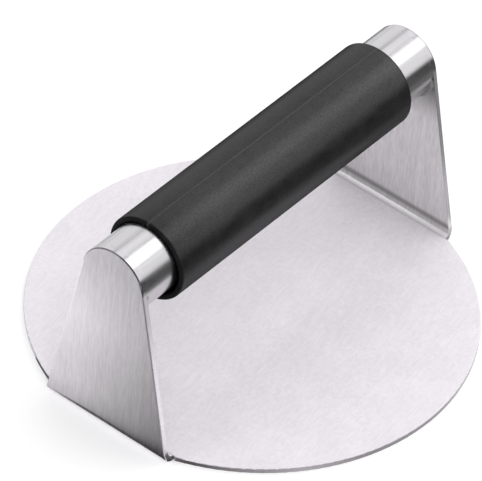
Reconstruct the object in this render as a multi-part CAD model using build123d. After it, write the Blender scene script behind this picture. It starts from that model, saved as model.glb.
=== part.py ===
from build123d import *
from math import acos, atan2, cos, hypot, sin
import os

# A round press for bacon and burgers. One blank of stainless sheet makes the flat disc and the two
# ears that are bent up out of it. A tube is welded between the ears, and a loose moulded sleeve on
# the tube keeps the heat off the hand.
#
# Origin: centre of the disc, on the face that presses. +Z is up and the handle runs along X.
# All sizes are in millimetres.

INCH = 25.4

# Sheet
disc_diameter = 6 * INCH
sheet_thickness = 2.0
bend_inner_radius = 2.0
disc_edge_round = 0.3

# Ears
ear_outside_span = 150.8
ear_root_width = 52.0
ear_edge_round = 0.5

# Relief nick at each end of each bend, which lets the ear fold without tearing the disc
relief_width = 0.7
relief_depth = 0.2

# Handle tube
tube_diameter = 1 * INCH
tube_wall = 1.5
tube_axis_height = 65.0
weld_bevel = 1.0

# Weld
weld_leg = 1.1
weld_side_inset = 0.2

# Sleeve
sleeve_length = 118.0
sleeve_outer_diameter = 31.0
sleeve_bore_diameter = 27.2
sleeve_running_gap = 0.05
sleeve_end_round = 1.0
sleeve_bore_chamfer = 0.4
parting_line_width = 0.4
parting_line_height = 0.1

# Worked out from the sizes above
disc_radius = disc_diameter / 2
bend_outer_radius = bend_inner_radius + sheet_thickness
ear_outside = ear_outside_span / 2
ear_inside = ear_outside - sheet_thickness
bend_line = ear_outside - bend_outer_radius
relief_start = bend_line - relief_depth
ear_half_width = ear_root_width / 2
tube_radius = tube_diameter / 2
bore_radius = sleeve_bore_diameter / 2
sleeve_radius = sleeve_outer_diameter / 2

# The sleeve hangs on the tube, so the top of its bore lies on the top of the tube.
sleeve_axis_height = tube_axis_height - (bore_radius - tube_radius) + sleeve_running_gap

SIDES = (-1, 1)
DIAGONAL = 0.5 ** 0.5    # sine and cosine of 45 degrees


def along_x(radius, start, end, height):
    """Solid round bar along X from start to end, with its axis at the given height."""
    bar = Cylinder(radius, end - start, rotation=(0, 90, 0))
    return Pos((start + end) / 2, 0, height) * bar


def ear_outline(inset):
    """Face in the YZ plane: straight sides that taper up and run tangent into the round top."""
    top_radius = tube_radius - inset
    foot = ear_half_width - inset
    tangent = acos(top_radius / hypot(foot, tube_axis_height)) - atan2(tube_axis_height, foot)
    side_y = top_radius * cos(tangent)
    side_z = tube_axis_height + top_radius * sin(tangent)
    top = tube_axis_height + top_radius
    edge = Polyline((-side_y, side_z), (-foot, 0), (foot, 0), (side_y, side_z))
    edge += ThreePointArc((side_y, side_z), (0, top), (-side_y, side_z))
    return Plane.YZ * make_face(edge)


def bent_strip():
    """The sheet seen along Y, from the relief nick round the bend and up to the ear's top."""
    top = tube_axis_height + 2 * tube_radius
    upper_root = (bend_line, sheet_thickness)
    lower_root = (bend_line, 0)
    outer_foot = (ear_outside, bend_outer_radius)
    inner_foot = (ear_inside, bend_outer_radius)
    outer_mid = (bend_line + bend_outer_radius * DIAGONAL, bend_outer_radius * (1 - DIAGONAL))
    inner_mid = (bend_line + bend_inner_radius * DIAGONAL, bend_outer_radius - bend_inner_radius * DIAGONAL)
    edge = Polyline(upper_root, (relief_start, sheet_thickness), (relief_start, 0), lower_root)
    edge += ThreePointArc(lower_root, outer_mid, outer_foot)
    edge += Polyline(outer_foot, (ear_outside, top), (ear_inside, top), inner_foot)
    edge += ThreePointArc(inner_foot, inner_mid, upper_root)
    return extrude(Plane.XZ * make_face(edge), amount=ear_root_width, both=True)


def make_ear():
    """One ear with its bend, at +X, with the edges of its outside face rounded."""
    ear = bent_strip() & extrude(ear_outline(0), amount=disc_radius)
    outside = ear.faces().filter_by(Axis.X).sort_by(Axis.X)[-1]
    outer_bend = ear.faces().filter_by(GeomType.CYLINDER).sort_by(Axis.Z)[0]
    edges = outside.edges() + outer_bend.edges()
    return fillet(edges.filter_by(Axis.Y, reverse=True), ear_edge_round)


def make_press_plate():
    """Disc, opened for the two bends and their relief nicks and rounded at its rim, with both ears."""
    reach = 2 * disc_radius
    nick_radius = relief_width / 2
    nick_middle = ear_half_width + nick_radius
    low = (Align.MIN, Align.CENTER, Align.CENTER)
    opening = Pos(relief_start, 0, 0) * Box(reach, ear_root_width, reach, align=low)
    for side in SIDES:
        nick = Box(reach, relief_width, reach, align=low) + Cylinder(nick_radius, reach)
        opening += Pos(relief_start + nick_radius, side * nick_middle, 0) * nick
    half_turn = Rot(0, 0, 180)
    disc = Pos(0, 0, sheet_thickness / 2) * Cylinder(disc_radius, sheet_thickness)
    disc = disc - opening - half_turn * opening
    rim = disc.edges().filter_by(GeomType.CIRCLE).group_by(SortBy.RADIUS)[-1]
    ear = make_ear()
    return fillet(rim, disc_edge_round) + ear + half_turn * ear


def make_handle_tube():
    """Tube from ear to ear, with its ends bevelled for the weld."""
    outside = along_x(tube_radius, -ear_inside, ear_inside, tube_axis_height)
    outside = chamfer(outside.edges(), weld_bevel)
    inside = along_x(tube_radius - tube_wall, -ear_inside, ear_inside, tube_axis_height)
    return outside - inside


def make_weld_bead():
    """Weld at +X: it fills the tube's bevel flush, and is a hollow fillet where the ear is wider."""
    axis = Axis((0, 0, tube_axis_height), (1, 0, 0))
    surface = tube_axis_height + tube_radius
    corner = (ear_inside, surface)
    bevel_start = (ear_inside - weld_bevel, surface)
    bevel_end = (ear_inside, surface - weld_bevel)
    tube_toe = (ear_inside - weld_leg, surface)
    ear_toe = (ear_inside, surface + weld_leg)
    hollow = (ear_inside - weld_leg * (1 - DIAGONAL), surface + weld_leg * (1 - DIAGONAL))
    edge = Polyline(tube_toe, corner, ear_toe) + ThreePointArc(ear_toe, hollow, tube_toe)
    root = revolve(Plane.XZ * make_face(Polyline(bevel_start, corner, bevel_end, close=True)), axis)
    toe = revolve(Plane.XZ * make_face(edge), axis)
    return root + (toe & extrude(ear_outline(weld_side_inset), amount=disc_radius))


def make_grip_sleeve():
    """Moulded sleeve with soft outer ends and a fine parting line along its top and its bottom."""
    half = sleeve_length / 2
    body = along_x(sleeve_radius, -half, half, sleeve_axis_height)
    body = fillet(body.edges(), sleeve_end_round)
    line_length = sleeve_length - 2 * sleeve_end_round
    line_span = 2 * (sleeve_radius + parting_line_height)
    body += Pos(0, 0, sleeve_axis_height) * Box(line_length, parting_line_width, line_span)
    bore = along_x(bore_radius, -half, half, sleeve_axis_height)
    sleeve = body - bore
    bore_wall = sleeve.faces().filter_by(GeomType.CYLINDER).sort_by(SortBy.RADIUS)[0]
    return chamfer(bore_wall.edges().filter_by(GeomType.CIRCLE), sleeve_bore_chamfer)


weld_bead = make_weld_bead()
nodes = {
    "press_plate": make_press_plate(),
    "handle_tube": make_handle_tube(),
    "weld_bead_left": Rot(0, 0, 180) * weld_bead,
    "weld_bead_right": weld_bead,
    "grip_sleeve": make_grip_sleeve(),
}

os.makedirs("parts", exist_ok=True)
for name, solid in nodes.items():
    export_step(solid, f"parts/{name}.step")
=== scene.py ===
from math import cos, pi, radians, sin, tan

import bpy
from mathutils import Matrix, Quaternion, Vector


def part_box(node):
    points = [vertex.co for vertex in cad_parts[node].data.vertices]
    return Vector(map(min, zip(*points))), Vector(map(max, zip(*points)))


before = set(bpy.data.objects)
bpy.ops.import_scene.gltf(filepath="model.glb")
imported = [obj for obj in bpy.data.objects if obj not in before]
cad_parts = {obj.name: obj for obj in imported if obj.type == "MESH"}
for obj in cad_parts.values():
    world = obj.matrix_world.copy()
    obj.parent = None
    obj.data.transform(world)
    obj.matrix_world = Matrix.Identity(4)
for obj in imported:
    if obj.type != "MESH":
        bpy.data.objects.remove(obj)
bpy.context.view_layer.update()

# The looks of the bacon press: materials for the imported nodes, a pale floor, soft studio light and
# the camera. Everything is in metres, in the frame of the CAD model.

MM = 0.001

# Camera. Angles are in degrees, and the azimuth goes from the front (-Y) towards +X.
CAMERA_AZIMUTH = -53.02
CAMERA_ELEVATION = 42.30
CAMERA_ROLL = 4.11
CAMERA_DISTANCE = 2.0724
CAMERA_TARGET = Vector((-3.63, 4.05, 32.66)) * MM
CAMERA_SENSOR = 36            # millimetres wide
CAMERA_LENS = 469.7           # millimetres
CAMERA_CLIP = (0.05, 20.0)

# Sizes that the materials follow
SHEET_THICKNESS = 2 * MM
BEND_RADIUS = 4 * MM          # outside
tube_low, tube_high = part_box("handle_tube")
TUBE_AXIS_HEIGHT = (tube_low.z + tube_high.z) / 2
TUBE_RADIUS = (tube_high.z - tube_low.z) / 2
_, plate_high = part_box("press_plate")
DISC_RADIUS = plate_high.y
EAR_OUTSIDE = plate_high.x
EAR_INSIDE = EAR_OUTSIDE - SHEET_THICKNESS
BEND_LINE = EAR_OUTSIDE - BEND_RADIUS
_, sleeve_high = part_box("grip_sleeve")
SLEEVE_END = sleeve_high.x

# Colours, linear
STEEL = (0.84, 0.807, 0.85)
STEEL_INSIDE = (0.84, 0.832, 0.832)
POLISHED = (0.60, 0.588, 0.603)
PLASTIC = (0.0092, 0.0089, 0.0094)
FLOOR = (0.80, 0.80, 0.804)
SKY = (0.62, 0.62, 0.625)

# Patterns, in waves per metre along X, Y and Z
EAR_GRAIN_FINE = (190, 1500, 190)
EAR_GRAIN_BROAD = (28, 500, 28)
SHEET_CLOUDS = (60, 60, 60)
DISC_MOTTLE = (800, 800, 800)
DISC_PATCHES = (110, 150, 110)
DISC_STROKES = (230, 1700, 230)
DISC_STROKE_ANGLE = 9         # degrees from X
TUBE_LINES = (35, 1500, 1500)
TUBE_SMEARS = (60, 160, 160)
WELD_SCRATCHES = (900, 500, 500)
SLEEVE_TEXTURE = (1700, 1700, 1700)
SLEEVE_MOTTLE = (180, 260, 260)
FLOOR_MOTTLE = (3, 3, 3)
USUAL_NOISE = (0.3, 0.7)      # where nearly all of a noise lies

# Surface: roughness from the smoothest to the roughest places, and the depth of a finish
DISC_ROUGHNESS = (0.56, 0.66)
EAR_ROUGHNESS = (0.30, 0.42)
EDGE_ROUGHNESS = 0.26
EAR_TOP_ROUGHNESS = 0.20
POLISHED_ROUGHNESS = (0.20, 0.27)
WELD_HOLLOW_ROUGHNESS = 0.35
SLEEVE_ROUGHNESS = (0.31, 0.38)
SLEEVE_END_ROUGHNESS = 0.6
DISC_METALLIC = 0.22          # the ground disc scatters light almost evenly
EDGE_METALLIC = (0.65, 0.92)  # side edges of the left and of the right ear
EAR_ANISOTROPY = 0.6
SHEET_FINISH_DEPTH = 0.012 * MM
POLISH_DEPTH = 0.006 * MM
SLEEVE_TEXTURE_DEPTH = 0.02 * MM

# Shades, as a factor on the colour
RIM_SHADE = 0.75
EAR_TOP_SHADE = 0.72
# Painted shade on the corners of the ears' cut edges, for dark reflections there
CORNER_PAINTED_SHADE_LEFT = 0.85
CORNER_PAINTED_SHADE = 0.35           # painted shade on the right ear, and round the top of both
INNER_CORNER_PAINTED_SHADE_STRENGTH = 0.35
# Painted shade on the inside of each ear below the tube
UNDER_TUBE_PAINTED_SHADE = 0.25
UNDER_TUBE_SHADE_HEIGHTS = (46 * MM, 60 * MM)    # where the painted shade under the tube starts and where it is full
# Painted shade in the weld's hollow, where the tube meets the ear
WELD_HOLLOW_PAINTED_SHADE = 0.45
# Painted highlight along the sleeve's parting line
PARTING_LINE_PAINTED_HIGHLIGHT = 4.0

# Light
FLOOR_GLOW = 0.25
SOFTBOX_DISTANCE = 1.2        # from the tube's axis
CAMERA_FLAG_DISTANCE = 1.2    # from the camera's target
DARK = ((0, 0.05),)           # stops of an even, dark card


# ---------------------------------------------------------------- node helpers

def add(tree, kind, settings=None, inputs=None):
    """A new node. settings are its properties; inputs are values, or sockets to link from."""
    node = tree.nodes.new(kind)
    for name, value in (settings or {}).items():
        setattr(node, name, value)
    for name, value in (inputs or {}).items():
        if isinstance(value, bpy.types.NodeSocket):
            tree.links.new(value, node.inputs[name])
        else:
            node.inputs[name].default_value = value
    return node


def calc(tree, operation, *values):
    """Result of one Math node."""
    return add(tree, "ShaderNodeMath", {"operation": operation}, dict(enumerate(values))).outputs[0]


def times(tree, *factors):
    """Product of several values."""
    product = factors[0]
    for factor in factors[1:]:
        product = calc(tree, "MULTIPLY", product, factor)
    return product


def vector(tree, operation, *values, output="Vector"):
    """Result of one Vector Math node. The output is Value when it is a single number."""
    node = add(tree, "ShaderNodeVectorMath", {"operation": operation}, dict(enumerate(values)))
    return node.outputs[output]


def split(tree, value):
    """The X, Y and Z sockets of a vector."""
    return add(tree, "ShaderNodeSeparateXYZ", None, {"Vector": value}).outputs


def remap(tree, value, low, high, to_low, to_high, smooth=False):
    """Value from low..high to to_low..to_high, clamped at both ends."""
    settings = {"clamp": True, "interpolation_type": "SMOOTHSTEP" if smooth else "LINEAR"}
    inputs = {
        "Value": value,
        "From Min": low,
        "From Max": high,
        "To Min": to_low,
        "To Max": to_high,
    }
    return add(tree, "ShaderNodeMapRange", settings, inputs).outputs[0]


def above(tree, value, low, high):
    """Mask that is 0 up to low and 1 from high on."""
    return remap(tree, value, low, high, 0, 1)


def below(tree, value, low, high):
    """Mask that is 1 up to low and 0 from high on."""
    return remap(tree, value, low, high, 1, 0)


def spread(tree, pattern, low, high):
    """Noise stretched so that its usual range becomes low..high."""
    return remap(tree, pattern, *USUAL_NOISE, low, high)


def soft_line(tree, value, place, core, reach, shade):
    """Line of a shade, solid within core of its place and gone (shade 1) beyond reach of it."""
    distance = calc(tree, "ABSOLUTE", calc(tree, "SUBTRACT", value, place))
    return remap(tree, distance, core, reach, shade, 1)


# A Mix node's sockets go by number: 0 is the factor, 2 and 3 are numbers, 4 and 5 are vectors.
def mix(tree, factor, low, high):
    """Value that goes from low to high as factor goes from 0 to 1."""
    return add(tree, "ShaderNodeMix", None, {0: factor, 2: low, 3: high}).outputs[0]


def mix_colors(tree, factor, low, high):
    """Colour that goes from low to high as factor goes from 0 to 1."""
    inputs = {0: factor, 4: low, 5: high}
    return add(tree, "ShaderNodeMix", {"data_type": "VECTOR"}, inputs).outputs[1]


def tint(tree, color, amount):
    """Colour multiplied by a grey amount."""
    settings = {"operation": "SCALE"}
    return add(tree, "ShaderNodeVectorMath", settings, {0: color, "Scale": amount}).outputs[0]


def noise(tree, point, waves, detail=2.0, roughness=0.5):
    """Noise between 0 and 1, with so many waves per metre along X, Y and Z."""
    scaled = vector(tree, "MULTIPLY", point, waves)
    inputs = {"Vector": scaled, "Scale": 1.0, "Detail": detail, "Roughness": roughness}
    return add(tree, "ShaderNodeTexNoise", None, inputs).outputs["Fac"]


def turned(tree, point, angle):
    """Point turned about the Z axis, in degrees."""
    inputs = {"Vector": point, "Angle": radians(angle)}
    return add(tree, "ShaderNodeVectorRotate", {"rotation_type": "Z_AXIS"}, inputs).outputs[0]


def bump(tree, pattern, depth, strength):
    """Normal for a height map between 0 and 1 that stands this deep."""
    inputs = {"Height": pattern, "Distance": depth, "Strength": strength}
    return add(tree, "ShaderNodeBump", None, inputs).outputs[0]


def new_material(name):
    """A material with an empty tree, its output node, and its object coordinates."""
    material = bpy.data.materials.new(name)
    material.use_nodes = True
    tree = material.node_tree
    tree.nodes.clear()
    output = add(tree, "ShaderNodeOutputMaterial")
    place = add(tree, "ShaderNodeTexCoord")
    return material, tree, output, place


def finish_material(tree, output, inputs):
    """Ends the tree in a Principled shader."""
    shader = add(tree, "ShaderNodeBsdfPrincipled", None, inputs)
    tree.links.new(shader.outputs[0], output.inputs["Surface"])


# ---------------------------------------------------------------- materials

def brushed_grain(tree, point):
    """Brushed grain that runs up the ears."""
    fine = noise(tree, point, EAR_GRAIN_FINE, detail=3, roughness=0.6)
    broad = noise(tree, point, EAR_GRAIN_BROAD)
    return mix(tree, 0.35, fine, broad)


def ground_finish(tree, point):
    """Ground finish of the disc: a fine mottle, with patches of short strokes that run near X."""
    mottle = noise(tree, point, DISC_MOTTLE, detail=4, roughness=0.7)
    patch = remap(tree, noise(tree, point, DISC_PATCHES), 0.45, 0.65, 0.15, 0.85)
    along_strokes = turned(tree, point, -DISC_STROKE_ANGLE)
    strokes = noise(tree, along_strokes, DISC_STROKES, detail=3, roughness=0.6)
    return mix(tree, patch, mottle, strokes)


def bend_painted_reflections(tree, across, height):
    """Painted reflection inside a bend: a painted highlight line with a painted dark line on each
    side.
    """
    lower = soft_line(tree, across, BEND_LINE, 0.2 * MM, 0.7 * MM, 0.8)
    bend_highlight_line = soft_line(tree, height, SHEET_THICKNESS + 0.6 * MM, 0.15 * MM, 0.5 * MM, 1.15)
    upper = soft_line(tree, height, BEND_RADIUS + 1.2 * MM, 0.3 * MM, 1.8 * MM, 0.48)
    return times(tree, lower, bend_highlight_line, upper)


def ear_corner_painted_shade_mask(tree, across, normal, side_edge, flush):
    """Mask of the painted shade, standing in for dark reflections, on the rounded outer corner and,
    weaker, the inner corner of an ear's cut edge. Both run up its front side, and the outer one goes
    on all round its top."""
    rounded = below(tree, calc(tree, "ABSOLUTE", normal["X"]), 0.95, 0.99)
    outer = above(tree, across, EAR_OUTSIDE - 0.55 * MM, EAR_OUTSIDE - 0.40 * MM)
    inner = below(tree, across, EAR_INSIDE + 0.15 * MM, EAR_INSIDE + 0.35 * MM)
    outer_corner = times(tree, outer, rounded)
    inner_corner = times(tree, inner, side_edge, INNER_CORNER_PAINTED_SHADE_STRENGTH)
    in_front_or_on_top = remap(tree, normal["Y"], -0.1, 0.0, 1, flush)
    return times(tree, calc(tree, "MAXIMUM", outer_corner, inner_corner), in_front_or_on_top)


def brushed_stainless():
    """Sheet ground matt on the disc and brushed up the ears, with polished cut edges."""
    material, tree, output, place = new_material("brushed_stainless")
    point = place.outputs["Object"]
    x = split(tree, point)["X"]
    across = calc(tree, "ABSOLUTE", x)
    height = split(tree, point)["Z"]
    normal = split(tree, place.outputs["Normal"])
    faces_x, faces_y, faces_z = [calc(tree, "ABSOLUTE", normal[axis]) for axis in "XYZ"]
    grain = brushed_grain(tree, point)
    ground = ground_finish(tree, point)
    cloud = noise(tree, point, SHEET_CLOUDS, detail=3)

    # Masks. brushed is 0 on the ground disc and 1 on an ear. The disc's rim always faces partly
    # along Y, and the cut edge of an ear across X. An ear's top is flush with the tube, and both
    # are polished together.
    on_right = above(tree, x, -1 * MM, 1 * MM)
    on_ear = above(tree, height, BEND_RADIUS, BEND_RADIUS + 1 * MM)
    brushed = remap(tree, height, SHEET_THICKNESS, SHEET_THICKNESS + 1 * MM, 0, 1, smooth=True)
    inside = below(tree, across, EAR_INSIDE + 0.1 * MM, EAR_INSIDE + 0.2 * MM)
    inner_face = times(tree, inside, brushed)
    flush = above(tree, height, TUBE_AXIS_HEIGHT + 1 * MM, TUBE_AXIS_HEIGHT + 3 * MM)
    ear_edge = times(tree, on_ear, below(tree, faces_x, 0.55, 0.8))
    rim_edge = times(tree, above(tree, faces_y, 0.2, 0.4), below(tree, faces_z, 0.45, 0.75))
    edge = calc(tree, "MAXIMUM", ear_edge, rim_edge)
    side_edge = times(tree, ear_edge, calc(tree, "SUBTRACT", 1.0, flush))
    corner_painted_shade_mask = ear_corner_painted_shade_mask(tree, across, normal, side_edge, flush)

    # Shade of the faces. Painted shade darkens the inside of each ear below the tube, where the tube
    # shades it.
    disc_shade = spread(tree, ground, 0.92, 1.08)
    ear_shade = remap(tree, grain, 0.32, 0.68, 0.78, 1.04)
    cloud_shade = spread(tree, cloud, 0.975, 1.025)
    # Painted highlight and dark lines inside each bend
    bend_painted_light = mix(tree, inside, 1.0, bend_painted_reflections(tree, across, height))
    under_tube_shade_by_height = remap(tree, height, *UNDER_TUBE_SHADE_HEIGHTS, 1, UNDER_TUBE_PAINTED_SHADE)
    under_tube_shade_factor = mix(tree, inner_face, 1.0, under_tube_shade_by_height)
    face_shade = mix(tree, brushed, disc_shade, ear_shade)
    face_shade = times(tree, face_shade, cloud_shade, bend_painted_light, under_tube_shade_factor)

    # Shade of the cut edges. Their corners get painted shade for dark reflections, least on the left
    # ear.
    edge_shade = mix(tree, on_ear, RIM_SHADE, mix(tree, flush, 1.0, EAR_TOP_SHADE))
    full_corner_shade_mask = calc(tree, "MAXIMUM", on_right, flush)
    corner_painted_shade = mix(tree, full_corner_shade_mask, CORNER_PAINTED_SHADE_LEFT, CORNER_PAINTED_SHADE)
    shade = mix(tree, edge, face_shade, edge_shade)
    shade = times(tree, shade, mix(tree, corner_painted_shade_mask, 1.0, corner_painted_shade))

    # The inside of an ear is lit by the tinted disc, so its own colour is more neutral.
    steel = mix_colors(tree, inner_face, STEEL, STEEL_INSIDE)

    disc_roughness = spread(tree, ground, *DISC_ROUGHNESS)
    ear_roughness = spread(tree, grain, *EAR_ROUGHNESS)
    face_roughness = mix(tree, brushed, disc_roughness, ear_roughness)
    edge_roughness = mix(tree, flush, EDGE_ROUGHNESS, EAR_TOP_ROUGHNESS)
    face_metallic = mix(tree, brushed, DISC_METALLIC, 1.0)
    edge_metallic = mix(tree, side_edge, 1.0, mix(tree, on_right, *EDGE_METALLIC))
    # Highlights on the brushed ears stretch along Y, across the grain.
    along_y = add(tree, "ShaderNodeCombineXYZ", None, {"Y": 1.0}).outputs[0]
    finish_material(tree, output, {
        "Base Color": tint(tree, steel, shade),
        "Metallic": mix(tree, edge, face_metallic, edge_metallic),
        "Roughness": mix(tree, edge, face_roughness, edge_roughness),
        "Anisotropic": mix(tree, edge, times(tree, brushed, EAR_ANISOTROPY), 0.0),
        "Tangent": along_y,
        "Normal": bump(tree, mix(tree, brushed, ground, grain), SHEET_FINISH_DEPTH, strength=0.6),
    })
    return material


def polished_stainless():
    """Tube polished along its length."""
    material, tree, output, place = new_material("polished_stainless")
    point = place.outputs["Object"]
    lines = noise(tree, point, TUBE_LINES, detail=3)
    smear = noise(tree, point, TUBE_SMEARS)
    finish_material(tree, output, {
        "Base Color": tint(tree, POLISHED, spread(tree, lines, 0.96, 1.03)),
        "Metallic": 1.0,
        "Roughness": spread(tree, smear, *POLISHED_ROUGHNESS),
        "Normal": bump(tree, lines, POLISH_DEPTH, strength=0.5),
    })
    return material


def weld_metal():
    """Weld polished flush with the tube, and rougher, with painted shade, in the hollow where the
    ear is wider.
    """
    material, tree, output, place = new_material("weld_metal")
    point = place.outputs["Object"]
    scratches = noise(tree, point, WELD_SCRATCHES, detail=3)
    from_axis = vector(tree, "SUBTRACT", point, (0, 0, TUBE_AXIS_HEIGHT))
    from_axis = vector(tree, "MULTIPLY", from_axis, (0, 1, 1))
    radius = vector(tree, "LENGTH", from_axis, output="Value")
    hollow = above(tree, radius, TUBE_RADIUS + 0.02 * MM, TUBE_RADIUS + 0.15 * MM)
    polished_shade = spread(tree, scratches, 0.93, 1.05)
    # Painted shade in the hollow
    hollow_painted_shade = mix(tree, hollow, 1.0, WELD_HOLLOW_PAINTED_SHADE)
    polished_roughness = spread(tree, scratches, *POLISHED_ROUGHNESS)
    finish_material(tree, output, {
        "Base Color": tint(tree, POLISHED, times(tree, polished_shade, hollow_painted_shade)),
        "Metallic": 1.0,
        "Roughness": mix(tree, hollow, polished_roughness, WELD_HOLLOW_ROUGHNESS),
        "Normal": bump(tree, scratches, POLISH_DEPTH, strength=0.5),
    })
    return material


def black_plastic():
    """Satin moulded sleeve, very slightly mottled, with duller ends and a painted highlight along
    its parting line.
    """
    material, tree, output, place = new_material("black_plastic")
    point = place.outputs["Object"]
    x = split(tree, point)["X"]
    from_middle = calc(tree, "ABSOLUTE", x)
    from_line = calc(tree, "ABSOLUTE", split(tree, point)["Y"])
    end = above(tree, from_middle, SLEEVE_END - 0.75 * MM, SLEEVE_END - 0.35 * MM)
    parting_line_highlight_mask = below(tree, from_line, 0.25 * MM, 0.45 * MM)
    texture = noise(tree, point, SLEEVE_TEXTURE, detail=3, roughness=0.6)
    mottle = noise(tree, point, SLEEVE_MOTTLE, detail=4, roughness=0.6)

    # The sheen is strongest seen face on, is dull near the left end and glossier near the right.
    slant = add(tree, "ShaderNodeLayerWeight", None, {"Blend": 0.5}).outputs["Facing"]
    face_on = remap(tree, slant, 0.2, 0.7, 0.54, 0.06)
    grazing = remap(tree, slant, 0.7, 0.85, 1, 0.05)
    left_end = remap(tree, x, -60 * MM, -35 * MM, 0.72, 1)
    right_end = remap(tree, x, 30 * MM, 60 * MM, 0, 0.18)
    lengthwise = calc(tree, "ADD", left_end, right_end)
    speckle = spread(tree, texture, 0.72, 1.28)
    sheen = times(tree, face_on, grazing, speckle, lengthwise)

    # The parting line gets a painted highlight, as if its ridge caught the light.
    shade = mix(tree, parting_line_highlight_mask, spread(tree, mottle, 0.6, 1.5), PARTING_LINE_PAINTED_HIGHLIGHT)
    roughness = mix(tree, end, spread(tree, mottle, *SLEEVE_ROUGHNESS), SLEEVE_END_ROUGHNESS)
    finish_material(tree, output, {
        "Base Color": tint(tree, PLASTIC, shade),
        "Roughness": roughness,
        "Specular IOR Level": mix(tree, end, sheen, 0.05),
        "Normal": bump(tree, texture, SLEEVE_TEXTURE_DEPTH, strength=0.5),
    })
    return material


def floor_paper():
    """Plain matt paper lit faintly from below, with a trace of unevenness."""
    material, tree, output, place = new_material("floor_paper")
    mottle = noise(tree, place.outputs["Object"], FLOOR_MOTTLE)
    finish_material(tree, output, {
        "Base Color": tint(tree, FLOOR, spread(tree, mottle, 0.99, 1.01)),
        "Roughness": 0.9,
        "Specular IOR Level": 0.0,
        "Emission Color": (1, 1, 1, 1),
        "Emission Strength": FLOOR_GLOW,
    })
    return material


def glow(name, axis, stops, slope=None):
    """Material of a card. Its strength follows the card's own X or Y through stops of (place,
    strength). A slope of (angle, reach, low, high) multiplies that by low to high, from -reach to
    reach along the direction at this angle from X, in degrees. Places and reach are in
    millimetres."""
    material, tree, output, place = new_material(name)
    point = place.outputs["Object"]
    along = split(tree, point)[axis]
    strength = stops[0][1]
    for (start, before), (end, after) in zip(stops, stops[1:]):
        rise = remap(tree, along, start * MM, end * MM, 0, after - before)
        strength = calc(tree, "ADD", strength, rise)
    if slope:
        angle, reach, low, high = slope
        way = (cos(radians(angle)), sin(radians(angle)), 0)
        distance = vector(tree, "DOT_PRODUCT", point, way, output="Value")
        factor = remap(tree, distance, -reach * MM, reach * MM, low, high)
        strength = times(tree, strength, factor)
    emission = add(tree, "ShaderNodeEmission", None, {"Color": (1, 1, 1, 1), "Strength": strength})
    tree.links.new(emission.outputs[0], output.inputs["Surface"])
    return material


materials = {
    "press_plate": brushed_stainless(),
    "handle_tube": polished_stainless(),
    "weld_bead_left": weld_metal(),
    "weld_bead_right": weld_metal(),
    "grip_sleeve": black_plastic(),
}
for node, material in materials.items():
    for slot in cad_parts[node].material_slots:
        slot.material = material


# ---------------------------------------------------------------- studio

def direction(azimuth, elevation):
    """Unit vector at an azimuth from the front (-Y) towards +X, and an elevation, in degrees."""
    turn = radians(azimuth)
    rise = radians(elevation)
    return Vector((sin(turn) * cos(rise), -cos(turn) * cos(rise), sin(rise)))


def mesh_panel(name, points, faces, material):
    """Flat mesh, linked into the scene."""
    mesh = bpy.data.meshes.new(name)
    mesh.from_pydata(points, [], faces)
    mesh.materials.append(material)
    panel = bpy.data.objects.new(name, mesh)
    bpy.context.scene.collection.objects.link(panel)
    return panel


def flat_panel(name, width, depth, material, middle=(0, 0)):
    """Rectangle on its own XY plane."""
    left = middle[0] - width / 2
    right = middle[0] + width / 2
    front = middle[1] - depth / 2
    back = middle[1] + depth / 2
    corners = [(left, front, 0), (right, front, 0), (right, back, 0), (left, back, 0)]
    return mesh_panel(name, corners, [(0, 1, 2, 3)], material)


def arc_panel(name, inner, outer, start, end, material):
    """Band on its own XY plane that follows a circle between two angles, in whole degrees."""
    points = []
    for degree in range(start, end + 1):
        angle = radians(degree)
        points += [(radius * cos(angle), radius * sin(angle), 0) for radius in (inner, outer)]
    faces = [(2 * i, 2 * i + 1, 2 * i + 3, 2 * i + 2) for i in range(end - start)]
    return mesh_panel(name, points, faces, material)


def set_up_card(panel, location, turn=(0, 0, 0)):
    """Puts a card in its place, turned in degrees, where it shows only in reflections, as a studio
    flag does when it stands out of the picture."""
    panel.location = location
    panel.rotation_euler = [radians(angle) for angle in turn]
    for ray in ("camera", "diffuse", "shadow", "transmission", "volume_scatter"):
        setattr(panel, f"visible_{ray}", False)


def card(name, width, depth, location, stops, turn=(0, 0, 0)):
    """Rectangular card, lit along its own Y through the stops."""
    panel = flat_panel(name, width, depth, glow(name, "Y", stops))
    set_up_card(panel, location, turn)
    return panel


def softbox(name, start, end, brightness, along=1.2, length=2.2):
    """Strip light parallel to the handle, between two angles from overhead towards the front, in
    degrees. Its middle is this far along X."""
    middle = radians((start + end) / 2)
    width = 2 * SOFTBOX_DISTANCE * tan(radians((end - start) / 2))
    light = bpy.data.lights.new(name, "AREA")
    light.shape = "RECTANGLE"
    light.size = length
    light.size_y = width
    light.energy = brightness * pi * length * width
    lamp = bpy.data.objects.new(name, light)
    height = TUBE_AXIS_HEIGHT + cos(middle) * SOFTBOX_DISTANCE
    lamp.location = (along, -sin(middle) * SOFTBOX_DISTANCE, height)
    lamp.rotation_euler = (middle, 0, 0)
    lamp.visible_camera = False
    bpy.context.scene.collection.objects.link(lamp)


flat_panel("floor", 40.0, 40.0, floor_paper())

softbox("softbox_back", -86, -42, brightness=0.48)
softbox("softbox_top", -33, -3.5, brightness=0.62)
softbox("softbox_front", 4, 40, brightness=1.44)
softbox("softbox_low", 42, 79, brightness=0.55)
softbox("softbox_left", -60, -10, brightness=0.6, along=-1.2, length=1.6)
softbox("softbox_fill", 10, 60, brightness=1.7, along=-1.2, length=1.6)

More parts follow.
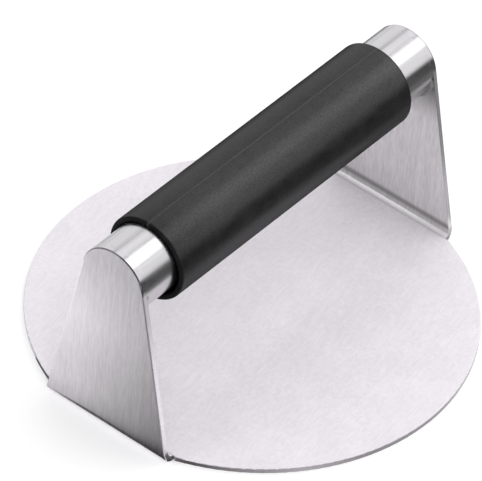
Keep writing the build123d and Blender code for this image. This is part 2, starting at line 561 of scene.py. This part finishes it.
# Dark and grey cards that the polished surfaces reflect. They are kept out of the picture and off
# the light. Those on the floor lie 0.05 to 0.2 mm above it, at different heights where they overlap.
towards_camera = direction(CAMERA_AZIMUTH, CAMERA_ELEVATION)
card("dark_cloth", 2.4, 1.2, (1.05, -0.685, 0.2 * MM), ((-600, 0.04), (530, 0.10), (600, 0.24)))
card("dark_wall", 2.4, 0.3, (1.05, -1.29, 0.08), DARK, turn=(90, 0, 0))
card("back_flag", 1.6, 0.4, (-1.3, 0.75, 0.2), DARK, turn=(90, 0, 60))
flag_place = CAMERA_TARGET + towards_camera * CAMERA_FLAG_DISTANCE
camera_flag = card("camera_flag", 1.8, 1.8, flag_place, DARK)
camera_flag.rotation_mode = "QUATERNION"
camera_flag.rotation_quaternion = towards_camera.to_track_quat("Z", "Y")
card("front_card", 0.22, 0.22, (-0.187, -0.137, 0.10 * MM), ((74, 0.05), (94, 0.45)))

# The floor as the disc's rim reflects it, from left to right
rim_stops = ((-72, 0.06), (-62, 0.36), (-47, 0.64), (-26, 0.40), (0, 0.50), (22, 0.76), (60, 0.82))
rim_glow = glow("rim_card", "X", rim_stops)
rim_card = arc_panel("rim_card", DISC_RADIUS, DISC_RADIUS + 2.4 * MM, 154, 340, rim_glow)
set_up_card(rim_card, (0, 0, 0.15 * MM))

side_stops = ((-152, 0.05), (-135, 0.65), (-120, 0.42), (-90, 0.08), (-20, 0.08), (40, 0.35))
card("side_card", 0.32, 0.33, (0.245, 0.08, 0.12 * MM), side_stops)
card("back_cloth", 0.4, 0.32, (0.14, 0.245, 0.10 * MM), ((-160, 0.72), (160, 0.80)))

# The floor as an ear reflects it, from its foot outwards
foot_stops = ((1.5, 0.08), (4.5, 0.45), (13, 0.66), (26, 0.73), (46, 1.06), (68, 0.52))
foot_glow = glow("foot_glow", "Y", foot_stops, slope=(-29, 32, 0.25, 1.7))
for side in (-1, 1):
    foot_card = flat_panel(f"foot_card_{side}", 0.18, 0.16, foot_glow, middle=(35 * MM, 76 * MM))
    set_up_card(foot_card, (side * EAR_OUTSIDE, 0, 0.05 * MM), turn=(0, 0, -90 * side - 8))

world = bpy.data.worlds.new("studio")
world.use_nodes = True
background = world.node_tree.nodes["Background"]
background.inputs["Color"].default_value = (*SKY, 1)
background.inputs["Strength"].default_value = 1.0
bpy.context.scene.world = world
bpy.context.scene.view_settings.view_transform = "Standard"


# ---------------------------------------------------------------- camera

camera_data = bpy.data.cameras.new("camera")
camera_data.sensor_width = CAMERA_SENSOR
camera_data.lens = CAMERA_LENS
camera_data.clip_start, camera_data.clip_end = CAMERA_CLIP
camera = bpy.data.objects.new("camera", camera_data)
camera.location = CAMERA_TARGET + towards_camera * CAMERA_DISTANCE
camera.rotation_mode = "QUATERNION"
roll = Quaternion((0, 0, 1), radians(CAMERA_ROLL))
camera.rotation_quaternion = (-towards_camera).to_track_quat("-Z", "Y") @ roll
bpy.context.scene.collection.objects.link(camera)
bpy.context.scene.camera = camera
